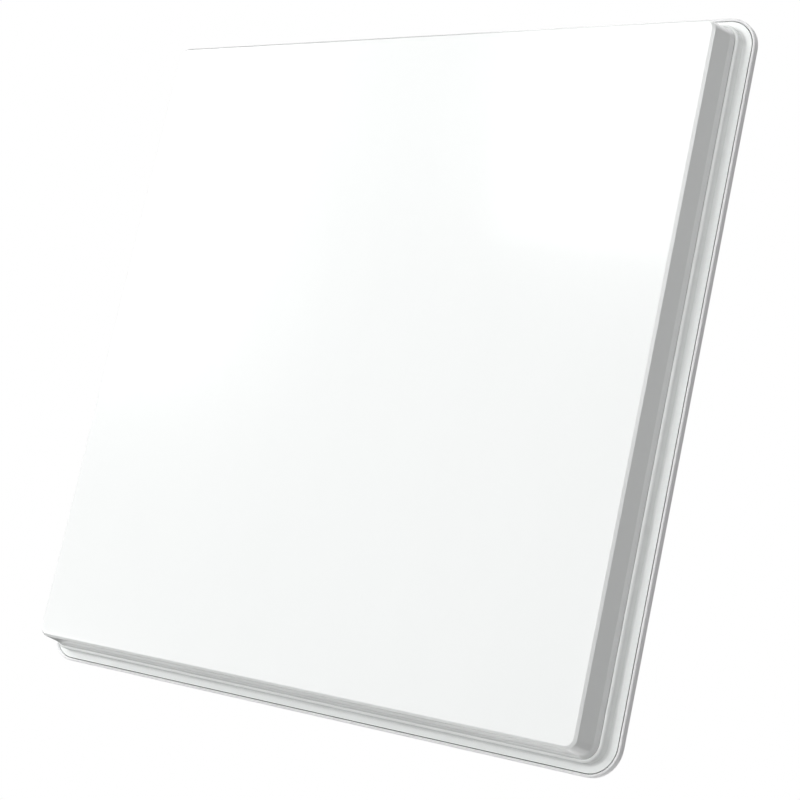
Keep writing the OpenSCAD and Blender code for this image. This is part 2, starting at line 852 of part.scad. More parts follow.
// Keyhole through a pad: the stud hangs at the foot of the slot
module keyhole(low, high) {
  slot_r = stud_d / 2 + stud_gap;
  translate([0, stud_y, 0]) disc(stud_head_d / 2 + 0.5, low, high);
  translate([0, -stud_y, 0]) disc(slot_r, low, high);
  block([2 * slot_r, 2 * stud_y, high - low], 0, 0, low);
}

module wall_plate() {
  color("lightgray") stand() difference() {
    union() {
      round_slab(plate_half, plate_corner_r, 0, plate_t);
      for (x = [-pad_x, pad_x]) for (y = [-pad_y, pad_y])
        block([pad_w, pad_h, pad_z + plate_t], x, y);
    }
    for (x = [-pad_x, pad_x]) for (y = [-pad_y, pad_y]) {
      block([pad_w - 2 * plate_t, pad_h - 2 * plate_t, pad_z + cut], x, y, -cut);
      translate([x, y, 0]) keyhole(pad_z - cut, pad_z + plate_t + cut);
    }
    block([window_w, window_w, plate_t + 2 * cut], 0, 0, -cut);
    for (x = [-1, 1]) for (y = [-1, 1]) translate([x, y] * fixing_pitch / 2)
      disc(fixing_d / 2, -cut, plate_t + cut);
    translate([-plate_half - cut, -bar_w / 2 - slide_gap, -cut])
      cube([nose_depth + slide_gap + cut, bar_w + 2 * slide_gap, plate_t + 2 * cut]);
  }
}

module hanging_studs() {
  head_top = pad_z - 0.3;
  color("silver") stand() each_at(stud_places) {
    disc(stud_head_d / 2, head_top - stud_head_h, head_top);
    disc(stud_d / 2, head_top, recess_depth);
    disc(stud_d / 2 - 0.5, recess_depth, recess_depth + tray_t);
  }
}

module release_bar() {
  bar_l = nose_x - bar_end_x;
  color("silver") stand() difference() {
    union() {
      block([bar_l, bar_w, bar_t], (nose_x + bar_end_x) / 2, 0, bar_z);
      translate([arm_x - arm_w, 0, bar_z]) cube([arm_w, bar_w / 2 + arm_reach, bar_t]);
    }
    block([4, bar_w - 4, bar_t + 2 * cut], bar_end_x + 5, 0, bar_z - cut);
  }
}

module bar_straps() {
  color("silver") stand() for (x = strap_xs) difference() {
    block([strap_size[0] - fit_gap, strap_size[1] - fit_gap, strap_size[2]], x);
    for (y = [-rivet_y, rivet_y]) translate([x, y, 0]) disc(rivet_r, -cut, cut);
  }
}

module strap_rivets() {
  color("silver") stand() for (x = strap_xs) for (y = [-rivet_y, rivet_y]) translate([x, y, 0]) {
    disc(rivet_r, 0, tray_t);
    disc(rivet_head_r, tray_t, tray_t + rivet_head_h);
  }
}

module bar_spring() {
  color("silver") stand() translate([arm_x, spring_y, bar_z + spring_d / 2]) rotate([0, 90, 0])
    difference() {
      cylinder(r = spring_d / 2, h = spring_l);
      translate([0, 0, 1]) cylinder(r = spring_d / 2 - 0.5, h = spring_l);
    }
}

module spring_anchor() {
  color("silver") stand() translate([spring_end_x - anchor_t, groove_half, bar_z])
    cube([anchor_t, spring_d, spring_pocket_depth - bar_z]);
}

front_cover();
cover_gasket();
carrier_frame();
edge_seal();
back_tray();
cover_screws();
tray_screws();
reflector_plate();
reflector_screws();
cover_props();
patch_posts();
coupler_screws();
coupler_jacks();
feed_pins();
for (i = [0:3]) {
  antenna_patch(i);
  coupler_board(i);
  coax_lead(i);
}
lead_clips();
reader_board();
board_standoffs();
board_screws();
board_jacks();
board_chips();
board_capacitors();
power_transformer();
reader_shield();
thermal_pad();
ethernet_jack();
io_header();
io_plug();
console_port();
status_led();
status_light_pipe();
reset_button();
reset_switch();
ground_screw();
ground_washer();
ground_nut();
lanyard_bar();
rating_plate();
wall_plate();
hanging_studs();
release_bar();
bar_straps();
strap_rivets();
bar_spring();
spring_anchor();
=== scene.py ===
import json
import math

import bpy
import numpy as np
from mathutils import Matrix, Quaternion, Vector


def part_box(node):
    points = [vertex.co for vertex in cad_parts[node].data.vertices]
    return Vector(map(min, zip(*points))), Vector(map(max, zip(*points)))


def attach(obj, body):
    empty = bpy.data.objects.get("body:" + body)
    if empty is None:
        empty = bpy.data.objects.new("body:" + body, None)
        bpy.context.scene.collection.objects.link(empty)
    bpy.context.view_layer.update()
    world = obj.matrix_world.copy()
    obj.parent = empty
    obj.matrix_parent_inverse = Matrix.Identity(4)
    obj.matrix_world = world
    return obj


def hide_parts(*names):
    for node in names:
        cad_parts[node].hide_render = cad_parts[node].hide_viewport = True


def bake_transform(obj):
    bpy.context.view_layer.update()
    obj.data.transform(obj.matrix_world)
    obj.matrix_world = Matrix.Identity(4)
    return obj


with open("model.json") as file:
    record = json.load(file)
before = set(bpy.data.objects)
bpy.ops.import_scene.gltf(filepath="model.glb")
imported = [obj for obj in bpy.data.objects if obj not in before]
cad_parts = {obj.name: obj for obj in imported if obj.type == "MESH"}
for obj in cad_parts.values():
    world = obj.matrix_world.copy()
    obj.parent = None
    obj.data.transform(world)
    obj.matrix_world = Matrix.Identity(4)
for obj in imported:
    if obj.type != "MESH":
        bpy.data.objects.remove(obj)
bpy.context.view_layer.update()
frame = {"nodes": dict(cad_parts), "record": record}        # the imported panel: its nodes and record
nodes = frame["nodes"]
MM = 0.001

# ---------------------------------------------------------------- sizes
# Half widths and heights come from the frame; the rest are the profile's own sizes.
# Heights are measured from the back plane towards the front, which is -Y.

CORNER_R = 9 * MM          # corner radius of the cover at its chamfer
CHAMFER = 2.1 * MM
BAND_H = 5 * MM
BAND_FLARE = 1.9 * MM
DRAFT = 3.1 * MM
COVER_T = 2.5 * MM
FRAME_T = 2.5 * MM
BEAD_R = 2.3 * MM
COVE_R = 2.5 * MM
FLANGE_W = 6.6 * MM
LEDGE_W = 20 * MM
SEAM_GAP = 0.5 * MM
FRAME_H = 10.8 * MM
SEAT_Z = 2.9 * MM          # where the seal lies on the tray
SEAL_T = 0.7 * MM
TRAY_T = 2 * MM
BOSS_R = 4 * MM            # screw bosses inside the cover and under the frame
BOSS_LINE_IN = 6 * MM      # from the cover's edge to the line of the bosses
SCREW_R = 1.25 * MM
SCREWS_PER_SIDE = 4
SCREW_INSET = 60 * MM      # from the side's end to its first cover screw; a third of it for the tray

CHAMFER_EDGE_R = 0.6 * MM  # how finely the profiles' corners are rounded
BAND_EDGE_R = 0.5 * MM
LEDGE_EDGE_R = 0.4 * MM
FREE_EDGE_R = 0.3 * MM     # lower ends of walls and bosses
FLANGE_LOW_R = 0.2 * MM
INNER_R = 1 * MM
LEAST_CORNER_R = 1 * MM    # for outlines far inside the cover's corners
FACE_STEPS = 12            # steps from the middle of the flat face to its edge

SPRING_WIRE_R = 0.25 * MM
SPRING_TURNS = 17
STEPS_PER_TURN = 20
WIRE_SIDES = 8

CONTACTS = 8
CONTACT_PITCH = 1.02 * MM
CONTACT_R = 0.2 * MM
CONTACT_BACK = 3 * MM      # from the socket's rear side to the upper end of a contact
CONTACT_DEPTHS = [1.5, 2.5, 6, 9.5]  # millimetres below the socket's top
CONTACT_LEAN = 0.4         # how far it comes forward for each step down

SEAM_O = DRAFT + BAND_FLARE
FRAME_O = SEAM_O + BEAD_R
FLANGE_O = FRAME_O + FLANGE_W
COVER_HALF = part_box("carrier_frame")[1].x - FLANGE_O
FACE_Z = -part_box("front_cover")[0].y
INNER_Z = FACE_Z - COVER_T
FLANGE_LOW_Z = SEAT_Z + SEAL_T
FLANGE_Z = FLANGE_LOW_Z + FRAME_T
LEDGE_Z = FLANGE_Z + FRAME_H
SEAM_Z = LEDGE_Z + SEAM_GAP
WALL_Z = SEAM_Z + BAND_H

# ---------------------------------------------------------------- surfaces


def stand(points):
    """Turns bench points (x, y, height) upright: world X = x, world Y = -height, world Z = y."""
    return points[..., [0, 2, 1]] * np.array([1, -1, 1])


def piece(name, points, faces, material, smooth=True):
    """A mesh object from finished points and faces, at the origin, with one material."""
    mesh = bpy.data.meshes.new(name)
    mesh.from_pydata(points.tolist(), [], faces)
    mesh.materials.append(material)
    mesh.polygons.foreach_set("use_smooth", np.full(len(mesh.polygons), smooth))
    mesh.validate()
    made = bpy.data.objects.new(name, mesh)
    bpy.context.scene.collection.objects.link(made)
    return made


def grid_faces(rows, columns, closed_rows, closed_columns, start=0):
    """Quads of a grid of points numbered row by row, wrapping round where it is closed."""
    last_row = rows if closed_rows else rows - 1
    last_column = columns if closed_columns else columns - 1
    r, c = np.meshgrid(np.arange(last_row), np.arange(last_column), indexing="ij")
    r2, c2 = (r + 1) % rows, (c + 1) % columns
    quads = np.stack([r * columns + c, r * columns + c2, r2 * columns + c2, r2 * columns + c], -1)
    return (quads.reshape(-1, 4) + start).tolist()


def rounded_square(half, radius, corner_steps=16, side_steps=8):
    """Outline of a square with round corners: quarter circles joined by straight sides.

    A point of a corner is its centre, half - radius out on both axes, plus radius times
    (cos a, sin a); a point of a side divides the line between two corners evenly.
    """
    angle = np.linspace(0, np.pi / 2, corner_steps + 1)
    corner = (half - radius) + radius * np.stack([np.cos(angle), np.sin(angle)], -1)
    share = np.linspace(0, 1, side_steps + 1)[1:-1, None]
    next_start = np.array([-(half - radius), half])
    side = corner[-1] * (1 - share) + next_start * share
    quarter = np.concatenate([corner, side])
    turns = [quarter]
    for _ in range(3):
        turns.append(np.stack([-turns[-1][:, 1], turns[-1][:, 0]], -1))
    return np.concatenate(turns)


def fillet(rounded_corners, steps=6):
    """A polygon from corners (offset, height, radius), each an arc tangent to both its edges.

    The arc's centre lies on the corner's bisector, r / sin(half the corner's angle) from it.
    A radius of 0 leaves the corner as it is.
    """
    rounded_corners = np.array(rounded_corners, float)
    corners = rounded_corners[:, :2]
    out = []
    for i, (corner, radius) in enumerate(zip(corners, rounded_corners[:, 2])):
        if radius == 0:
            out.append(corner[None])
            continue
        a = corners[i - 1] - corner
        b = corners[(i + 1) % len(corners)] - corner
        a, b = a / np.linalg.norm(a), b / np.linalg.norm(b)
        half_angle = np.arccos(np.clip(a @ b, -1, 1)) / 2
        centre = corner + (a + b) / np.linalg.norm(a + b) * radius / np.sin(half_angle)
        first = corner + a * radius / np.tan(half_angle) - centre
        last = corner + b * radius / np.tan(half_angle) - centre
        turn = np.pi - 2 * half_angle
        share = np.linspace(0, 1, steps + 1)[:, None]
        sweep = first * np.sin((1 - share) * turn) + last * np.sin(share * turn)
        out.append(centre + sweep / np.sin(turn))
    return np.concatenate(out)


def arc(centre, radius, start, end, steps):
    """Points of a circular arc, from angle start to angle end in degrees."""
    angle = np.radians(np.linspace(start, end, steps + 1))
    return np.array(centre) + radius * np.stack([np.cos(angle), np.sin(angle)], -1)


def rings_of(profile):
    """A rounded square at each (offset, height) of a profile, as bench points.

    Its half width and its corner radius are the cover's plus the offset, so all corners
    share their centres, until the radius reaches its least value.
    """
    rings = []
    for offset, height in profile:
        outline = rounded_square(COVER_HALF + offset, max(CORNER_R + offset, LEAST_CORNER_R))
        rings.append(np.column_stack([outline, np.full(len(outline), height)]))
    return rings


def turned(profile, place, sides=32):
    """A closed profile of (radius, height) turned about an axis square to the face.

    A point at radius r and turn a lies at place + r (cos a, sin a), at the profile's height.
    """
    angle = np.linspace(0, 2 * np.pi, sides, endpoint=False)
    profile = np.array(profile)
    x = place[0] + profile[:, :1] * np.cos(angle)
    y = place[1] + profile[:, :1] * np.sin(angle)
    height = np.repeat(profile[:, 1:], sides, axis=1)
    return stand(np.stack([x, y, height], -1))


def closed_shells(grids, start=0):
    """Points and faces of grids that each close both ways, numbered one after another."""
    points, faces = [], []
    for grid in grids:
        rows, columns = grid.shape[:2]
        faces += grid_faces(rows, columns, True, True, start)
        points.append(grid.reshape(-1, 3))
        start += rows * columns
    return np.concatenate(points), faces


def screw_bosses(low, high, reach):
    """Tubes from height low to high, in a row along each side that reaches so far either way."""
    profile = fillet([
        (SCREW_R, high, 0),
        (BOSS_R, high, 0),
        (BOSS_R, low, FREE_EDGE_R),
        (SCREW_R, low, FREE_EDGE_R)])
    row = np.linspace(-reach, reach, SCREWS_PER_SIDE)
    line = COVER_HALF - BOSS_LINE_IN
    tubes = []
    for along in row:
        for place in [(along, line), (-line, along), (-along, -line), (line, -along)]:
            tubes.append(turned(profile, place))
    return tubes


def tube_points(path, radius, sides):
    """Circles of one radius about each point of a path, square to the path's direction.

    The side direction at each point is the path's direction crossed with the Y axis, or with
    the X axis where the path runs nearly along Y. The circles turn where that changes.
    """
    path = np.array(path, float)
    run = np.gradient(path, axis=0)
    run /= np.linalg.norm(run, axis=1)[:, None]
    helper = np.where(np.abs(run[:, 1:2]) < 0.9, [[0.0, 1.0, 0.0]], [[1.0, 0.0, 0.0]])
    side = np.cross(run, helper)
    side /= np.linalg.norm(side, axis=1)[:, None]
    up = np.cross(side, run)
    angle = np.linspace(0, 2 * np.pi, sides, endpoint=False)
    circle = side[:, None] * np.cos(angle)[None, :, None] + up[:, None] * np.sin(angle)[None, :, None]
    return path[:, None] + radius * circle


def wires(paths, radius):
    """Points and faces of round wires along the paths, each with a flat cap at both ends."""
    points, faces, start = [], [], 0
    for path in paths:
        tube = tube_points(path, radius, WIRE_SIDES)
        rows, columns = tube.shape[:2]
        last = start + rows * columns - 1
        faces += grid_faces(rows, columns, False, True, start)
        faces.append([start + i for i in range(columns)])
        faces.append([last - i for i in range(columns)])
        points.append(tube.reshape(-1, 3))
        start = last + 1
    return np.concatenate(points), faces


# ---------------------------------------------------------------- finishes


class Amount:
    """A number that varies over a surface. Arithmetic on it adds the Math nodes."""

    def __init__(self, finish, socket):
        self.finish = finish
        self.socket = socket

    def _math(self, operation, first, second):
        return self.finish.add("ShaderNodeMath", {"operation": operation}, {0: first, 1: second})

    def __add__(self, other):
        return self._math("ADD", self, other)

    def __sub__(self, other):
        return self._math("SUBTRACT", self, other)

    def __rsub__(self, other):
        return self._math("SUBTRACT", other, self)

    def __mul__(self, other):
        return self._math("MULTIPLY", self, other)

    __radd__ = __add__
    __rmul__ = __mul__

    def above(self, low, high):
        """0 below low, 1 above high and straight between them."""
        settings = {"clamp": True}
        return self.finish.add("ShaderNodeMapRange", settings, {0: self, 1: low, 2: high})


SOCKETS = {
    "color": "Base Color", "metal": "Metallic", "rough": "Roughness", "normal": "Normal",
    "ior": "IOR", "coat": "Coat Weight", "coat_rough": "Coat Roughness",
    "through": "Transmission Weight", "glow": "Emission Color", "glow_strength": "Emission Strength",
    "under": "Subsurface Weight", "under_depth": "Subsurface Scale",
}


class Finish:
    """A material in the making, with one Principled shader."""

    def __init__(self, name):
        self.material = bpy.data.materials.new(name)
        self.material.use_nodes = True
        self.tree = self.material.node_tree
        self.shader = self.tree.nodes["Principled BSDF"]

    def add(self, kind, settings=None, sockets=None, output=0):
        """A node of that kind: its settings first, then its sockets; returns one output."""
        node = self.tree.nodes.new(kind)
        for name, value in (settings or {}).items():
            setattr(node, name, value)
        for name, value in (sockets or {}).items():
            self._feed(node.inputs[name], value)
        return Amount(self, node.outputs[output])

    def _feed(self, socket, value):
        if isinstance(value, Amount):
            self.tree.links.new(value.socket, socket)
        elif isinstance(value, tuple) and len(value) == 3 and socket.type == "RGBA":
            socket.default_value = (*value, 1)
        else:
            socket.default_value = value

    def place(self, stretch=(1, 1, 1), turn=(0, 0, 0)):
        """Object coordinates, stretched and turned."""
        where = self.add("ShaderNodeTexCoord", output="Object")
        return self.add("ShaderNodeMapping", {}, {"Vector": where, "Scale": stretch, "Rotation": turn})

    def noise(self, per_metre, detail=3, rough=0.5, stretch=(1, 1, 1), turn=(0, 0, 0)):
        sockets = {"Vector": self.place(stretch, turn), "Scale": per_metre}
        sockets.update({"Detail": detail, "Roughness": rough})
        return self.add("ShaderNodeTexNoise", {}, sockets)

    def cells(self, per_metre, feature="F1", output="Distance"):
        sockets = {"Vector": self.place(), "Scale": per_metre}
        return self.add("ShaderNodeTexVoronoi", {"feature": feature}, sockets, output)

    def mix(self, share, low, high):
        """Colour that goes from low to high as share goes from 0 to 1."""
        sockets = {0: share, 6: low, 7: high}
        return self.add("ShaderNodeMix", {"data_type": "RGBA"}, sockets, 2)

    def edge(self, radius):
        """About 1 on sharp edges and 0 on flat stretches."""
        true_normal = self.add("ShaderNodeNewGeometry", output="Normal")
        soft_normal = self.add("ShaderNodeBevel", {"samples": 6}, {"Radius": radius})
        both = {0: true_normal, 1: soft_normal}
        close = self.add("ShaderNodeVectorMath", {"operation": "DOT_PRODUCT"}, both, 1)
        return (1 - close).above(0.01, 0.2)

    def hollow(self, reach):
        """About 1 deep in hollows narrower than reach, and 0 on open surfaces."""
        return 1 - self.add("ShaderNodeAmbientOcclusion", {"samples": 8}, {"Distance": reach}, 1)

    def bump(self, height, depth, soft_edge=None):
        sockets = {"Height": height, "Distance": depth}
        if soft_edge:
            sockets["Normal"] = self.add("ShaderNodeBevel", {"samples": 6}, {"Radius": soft_edge})
        return self.add("ShaderNodeBump", {}, sockets)

    def done(self, **sockets):
        """Feeds the shader; SOCKETS says which of its sockets each short name stands for."""
        for name, value in sockets.items():
            self._feed(self.shader.inputs[SOCKETS[name]], value)
        return self.material


def moulded_white(name, tint, gloss, peel, painted_shade=0.0):
    """Gloss moulded plastic: faint orange peel, flow marks, duller edges, and painted shade in hollows when
    asked.
    """
    f = Finish(name)
    flow = f.noise(5, detail=4, rough=0.6, stretch=(1, 1, 0.35))
    skin = f.noise(420, detail=2)
    handling = f.noise(60, detail=6, rough=0.7).above(0.55, 0.85)
    worn = f.edge(0.5 * MM)
    deep = tuple(c * 0.985 for c in tint)
    shaded_tint = tuple(c * 0.45 for c in tint)
    color = f.mix(flow.above(0.35, 0.65), tint, deep)
    # painted shade: an occlusion mask darkens the colour in hollows towards 0.45 of the tint, as far as the shade
    # weight asks
    color = f.mix(painted_shade * f.hollow(6 * MM).above(0.18, 0.8), color, shaded_tint)
    return f.done(
        color=color, rough=gloss + 0.03 * handling + 0.12 * worn + 0.03 * flow, ior=1.5,
        coat=0.25 - 0.05 * handling, coat_rough=0.06, normal=f.bump(skin + 0.3 * flow, peel * MM))


def powder_coat(name, tint):
    """Satin powder coat: a fine pebbled skin, darker and shinier along edges."""
    f = Finish(name)
    pebble = f.noise(900, detail=2)
    cloud = f.noise(14, detail=4)
    rub = f.edge(0.6 * MM)
    scuff = f.noise(35, detail=8, rough=0.75, stretch=(1, 1, 4)).above(0.6, 0.75)
    dull = tuple(c * 0.93 for c in tint)
    bare = tuple(c * 0.8 for c in tint)
    color = f.mix(rub * 0.6, f.mix(cloud, tint, dull), bare)
    return f.done(
        color=color, rough=0.34 + 0.1 * cloud + 0.12 * scuff - 0.08 * rub, ior=1.5,
        normal=f.bump(pebble, 0.04 * MM, soft_edge=0.5 * MM))


def plated(name, tint, rough, shine_spread=0.12):
    """Zinc plate: bright metal with a cloudy passivated skin and paler edges."""
    f = Finish(name)
    cloud = f.noise(220, detail=5, rough=0.65)
    fleck = f.cells(900)
    rub = f.edge(0.25 * MM)
    dark = (tint[0] * 0.62, tint[1] * 0.63, tint[2] * 0.6)
    pale = tuple(min(1, c * 1.12) for c in tint)
    color = f.mix(rub, f.mix(cloud.above(0.3, 0.7), dark, tint), pale)
    return f.done(
        color=color, metal=1.0, rough=rough + shine_spread * cloud + 0.05 * fleck - 0.08 * rub,
        normal=f.bump(cloud, 0.03 * MM, soft_edge=0.2 * MM))


def brushed(name, tint, rough, along):
    """Metal brushed along one axis: fine parallel scratches and a few deeper ones."""
    f = Finish(name)
    squeeze = [1, 1, 1]
    squeeze["XYZ".index(along)] = 0.02
    hair = f.noise(2600, detail=3, rough=0.8, stretch=tuple(squeeze))
    deep = f.noise(700, detail=2, stretch=tuple(squeeze)).above(0.6, 0.7)
    cloud = f.noise(25, detail=3)
    rub = f.edge(0.3 * MM)
    dark = tuple(c * 0.72 for c in tint)
    pale = tuple(min(1, c * 1.1) for c in tint)
    color = f.mix(rub, f.mix(hair, dark, tint), pale)
    return f.done(
        color=color, metal=1.0, rough=rough + 0.16 * hair + 0.1 * cloud + 0.1 * deep - 0.06 * rub,
        normal=f.bump(hair + 0.6 * deep, 0.02 * MM, soft_edge=0.2 * MM))


def galvanised(name, tint):
    """Hot dip galvanised sheet: large zinc crystals, each with its own tone and gloss."""
    f = Finish(name)
    crystal = f.cells(230, output="Color")
    tone = f.add("ShaderNodeSeparateColor", {}, {"Color": crystal})
    seam = f.cells(230, feature="DISTANCE_TO_EDGE").above(0.0, 0.05)
    mist = f.noise(90, detail=6)
    rub = f.edge(0.3 * MM)
    dark = tuple(c * 0.92 for c in tint)
    pale = tuple(min(1, c * 1.15) for c in tint)
    color = f.mix(rub, f.mix(0.7 * tone + 0.3 * mist, dark, tint), pale)
    return f.done(
        color=color, metal=1.0, rough=0.38 + 0.06 * tone + 0.06 * (1 - seam) + 0.08 * mist,
        normal=f.bump(0.3 * tone + 0.2 * seam, 0.004 * MM, soft_edge=0.3 * MM))


def soft_rubber(name, tint):
    """Matt silicone: fine grain, dusty bloom and slightly paler edges."""
    f = Finish(name)
    grain = f.noise(1500, detail=3)
    bloom = f.noise(40, detail=5).above(0.4, 0.8)
    pale = tuple(c * 1.7 for c in tint)
    color = f.mix(0.35 * bloom + 0.3 * f.edge(0.3 * MM), tint, pale)
    return f.done(color=color, rough=0.62 + 0.2 * bloom, normal=f.bump(grain, 0.03 * MM))


def moulded_part(name, tint, rough, under=0.0, grain=0.02):
    """Small engineering plastic part: spark grain, mould flow and rubbed edges."""
    f = Finish(name)
    spark = f.noise(2200, detail=2)
    flow = f.noise(70, detail=4, stretch=(1, 0.4, 1))
    rub = f.edge(0.25 * MM)
    deep = tuple(c * 0.85 for c in tint)
    pale = tuple(min(1, c * 1.15 + 0.02) for c in tint)
    color = f.mix(rub * 0.7, f.mix(flow, tint, deep), pale)
    return f.done(
        color=color, rough=rough + 0.12 * flow - 0.08 * rub, under=under, under_depth=1 * MM,
        normal=f.bump(spark, grain * MM, soft_edge=0.2 * MM))


def circuit_board(name, tint, copper):
    """Solder mask over copper tracks: raised tracks, a glass weave below, and a glossy skin."""
    f = Finish(name)
    track = f.add(
        "ShaderNodeTexBrick", {"offset": 0.37, "squash": 0.6, "squash_frequency": 3},
        {"Vector": f.place(turn=(math.pi / 2, 0, 0)), "Scale": 95, "Mortar Size": 0.012,
         "Mortar Smooth": 0.1, "Brick Width": 0.9, "Row Height": 0.14}, 1)
    weave = f.add("ShaderNodeTexWave", {"bands_direction": "X"}, {"Vector": f.place(), "Scale": 900})
    cloud = f.noise(30, detail=4)
    deep = tuple(c * 0.7 for c in tint)
    color = f.mix(track, f.mix(cloud, tint, deep), copper)
    height = track + 0.08 * f.add("ShaderNodeSeparateColor", {}, {"Color": weave})
    return f.done(
        color=color, rough=0.28 + 0.1 * cloud + 0.06 * track, ior=1.5, coat=0.3, coat_rough=0.15,
        normal=f.bump(height, 0.05 * MM, soft_edge=0.1 * MM))


def woven_tape(name, tint):
    """Polyester tape wound over a coil: overlapping turns with a faint weave."""
    f = Finish(name)
    turns = f.add("ShaderNodeTexWave", {"bands_direction": "Z", "wave_profile": "SAW"},
                  {"Vector": f.place(), "Scale": 60, "Distortion": 0.6})
    turns = f.add("ShaderNodeSeparateColor", {}, {"Color": turns})
    weave = f.noise(1400, detail=2, stretch=(1, 0.2, 1))
    deep = tuple(c * 0.8 for c in tint)
    return f.done(
        color=f.mix(turns, deep, tint), rough=0.3 + 0.15 * weave,
        normal=f.bump(turns + 0.2 * weave, 0.15 * MM, soft_edge=0.2 * MM))


def clear_acrylic(name, tint):
    """Clear light pipe: slightly milky, with fine moulding ripples."""
    f = Finish(name)
    ripple = f.noise(300, detail=2)
    return f.done(color=f.mix(ripple, tint, tuple(c * 0.95 for c in tint)), through=0.85,
                  rough=0.08 + 0.06 * ripple, ior=1.49, normal=f.bump(ripple, 0.02 * MM))


def lit_diode(name, tint):
    """Green diode: tinted lens whose glow varies a little over it."""
    f = Finish(name)
    spot = f.noise(250, detail=2)
    glow = f.mix(spot, tint, (0.5, 1.0, 0.4))
    return f.done(color=glow, rough=0.2 + 0.1 * spot, glow=glow, glow_strength=0.8,
                  normal=f.bump(spot, 0.02 * MM))


def foil_label(name, tint):
    """Blank anodised rating plate: satin foil, brushed across, with a few handling marks."""
    f = Finish(name)
    hair = f.noise(2400, detail=2, stretch=(0.03, 1, 1))
    mark = f.noise(50, detail=6).above(0.6, 0.8)
    dark = tuple(c * 0.8 for c in tint)
    return f.done(color=f.mix(hair, dark, tint), metal=0.5, rough=0.32 + 0.15 * hair + 0.1 * mark,
                  normal=f.bump(hair, 0.01 * MM, soft_edge=0.1 * MM))


FINISHES = {
    "cover_white": moulded_white("cover_white", (0.93, 0.945, 0.938), 0.2, 0.004),
    # the frame gets full painted shade in its hollows, which darkens the cove
    "frame_white": moulded_white("frame_white", (0.93, 0.95, 0.94), 0.24, 0.004, painted_shade=1.0),
    "seal_grey": soft_rubber("seal_grey", (0.07, 0.075, 0.075)),
    "tray_paint": powder_coat("tray_paint", (0.93, 0.93, 0.935)),
    "zinc_steel": plated("zinc_steel", (0.52, 0.53, 0.54), 0.28),
    "bar_steel": brushed("bar_steel", (0.50, 0.51, 0.52), 0.32, "X"),
    "spring_steel": plated("spring_steel", (0.56, 0.57, 0.58), 0.2, 0.08),
    "plate_steel": galvanised("plate_steel", (0.56, 0.57, 0.59)),
    "aluminium_sheet": brushed("aluminium_sheet", (0.86, 0.87, 0.88), 0.3, "X"),
    "patch_metal": brushed("patch_metal", (0.83, 0.68, 0.36), 0.24, "Z"),
    "nylon": moulded_part("nylon", (0.86, 0.84, 0.76), 0.42, under=0.15),
    "pcb_green": circuit_board("pcb_green", (0.02, 0.17, 0.06), (0.05, 0.30, 0.11)),
    "gold_contact": plated("gold_contact", (0.95, 0.72, 0.30), 0.18, 0.08),
    "coax_jacket": moulded_part("coax_jacket", (0.025, 0.025, 0.027), 0.4),
    "chip_black": moulded_part("chip_black", (0.02, 0.02, 0.022), 0.5, grain=0.04),
    "capacitor_can": brushed("capacitor_can", (0.80, 0.81, 0.82), 0.25, "Y"),
    "transformer_tape": woven_tape("transformer_tape", (0.85, 0.68, 0.18)),
    "shield_tin": plated("shield_tin", (0.78, 0.78, 0.76), 0.2),
    "pad_grey": soft_rubber("pad_grey", (0.38, 0.42, 0.48)),
    "terminal_green": moulded_part("terminal_green", (0.03, 0.30, 0.10), 0.35),
    "led_green": lit_diode("led_green", (0.12, 0.8, 0.2)),
    "light_pipe": clear_acrylic("light_pipe", (0.95, 0.97, 0.96)),
    "button_red": moulded_part("button_red", (0.65, 0.05, 0.03), 0.32),
    "washer_brass": plated("washer_brass", (0.86, 0.66, 0.30), 0.22),
    "label_foil": foil_label("label_foil", (0.62, 0.63, 0.64)),
}


def finish_cad_nodes():
    """Every carried-over node gets its slot's finish."""
    for part in frame["record"]["subparts"]:
        node = nodes[part["node"]]
        for material_slot in node.material_slots:
            material_slot.material = FINISHES[part["material_slot"]]


# ---------------------------------------------------------------- casing

BURIED = 0.3 * MM          # how far a boss runs into the wall that it stands on


def cover_profile():
    """The cover's section: from the face out and down to the seam, and back up inside."""
    return fillet([
        (-3 * CHAMFER, FACE_Z, 0),
        (-CHAMFER, FACE_Z, CHAMFER_EDGE_R),
        (0, FACE_Z - CHAMFER, CHAMFER_EDGE_R),
        (DRAFT, WALL_Z, BAND_EDGE_R),
        (SEAM_O, SEAM_Z, FREE_EDGE_R),
        (SEAM_O - COVER_T, SEAM_Z, FREE_EDGE_R),
        (DRAFT - COVER_T, WALL_Z, INNER_R),
        (-COVER_T, INNER_Z, INNER_R),
        (-3 * COVER_T, INNER_Z, 0)])


def cover_skin():
    """Bench points and faces of the cover's wall, closed by a fan of triangles on each side.

    On the flat stretches the rounded square shrinks evenly to a point in the middle.
    """
    rings = rings_of(cover_profile())
    shares = np.linspace(0, 1, FACE_STEPS + 1)[1:-1]
    front = [rings[0] * [s, s, 1] for s in shares]
    back = [rings[-1] * [s, s, 1] for s in shares[::-1]]
    rings = np.array(front + rings + back)
    rows, columns = rings.shape[:2]
    points = np.concatenate([rings.reshape(-1, 3), [[0, 0, FACE_Z], [0, 0, INNER_Z]]])
    front_middle = rows * columns
    back_middle = front_middle + 1
    last_ring = front_middle - columns
    faces = grid_faces(rows, columns, False, True)
    faces += [[front_middle, (i + 1) % columns, i] for i in range(columns)]
    faces += [[back_middle, last_ring + i, last_ring + (i + 1) % columns] for i in range(columns)]
    return points, faces


def cover_shell():
    """Front cover: face, chamfer, drafted wall and flared band, with bosses inside."""
    points, faces = cover_skin()
    bosses = screw_bosses(LEDGE_Z, INNER_Z + BURIED, COVER_HALF - CORNER_R - SCREW_INSET)
    boss_points, boss_faces = closed_shells(bosses, start=len(points))
    points = np.concatenate([stand(points), boss_points])
    return piece("moulded_cover", points, faces + boss_faces, FINISHES["cover_white"])


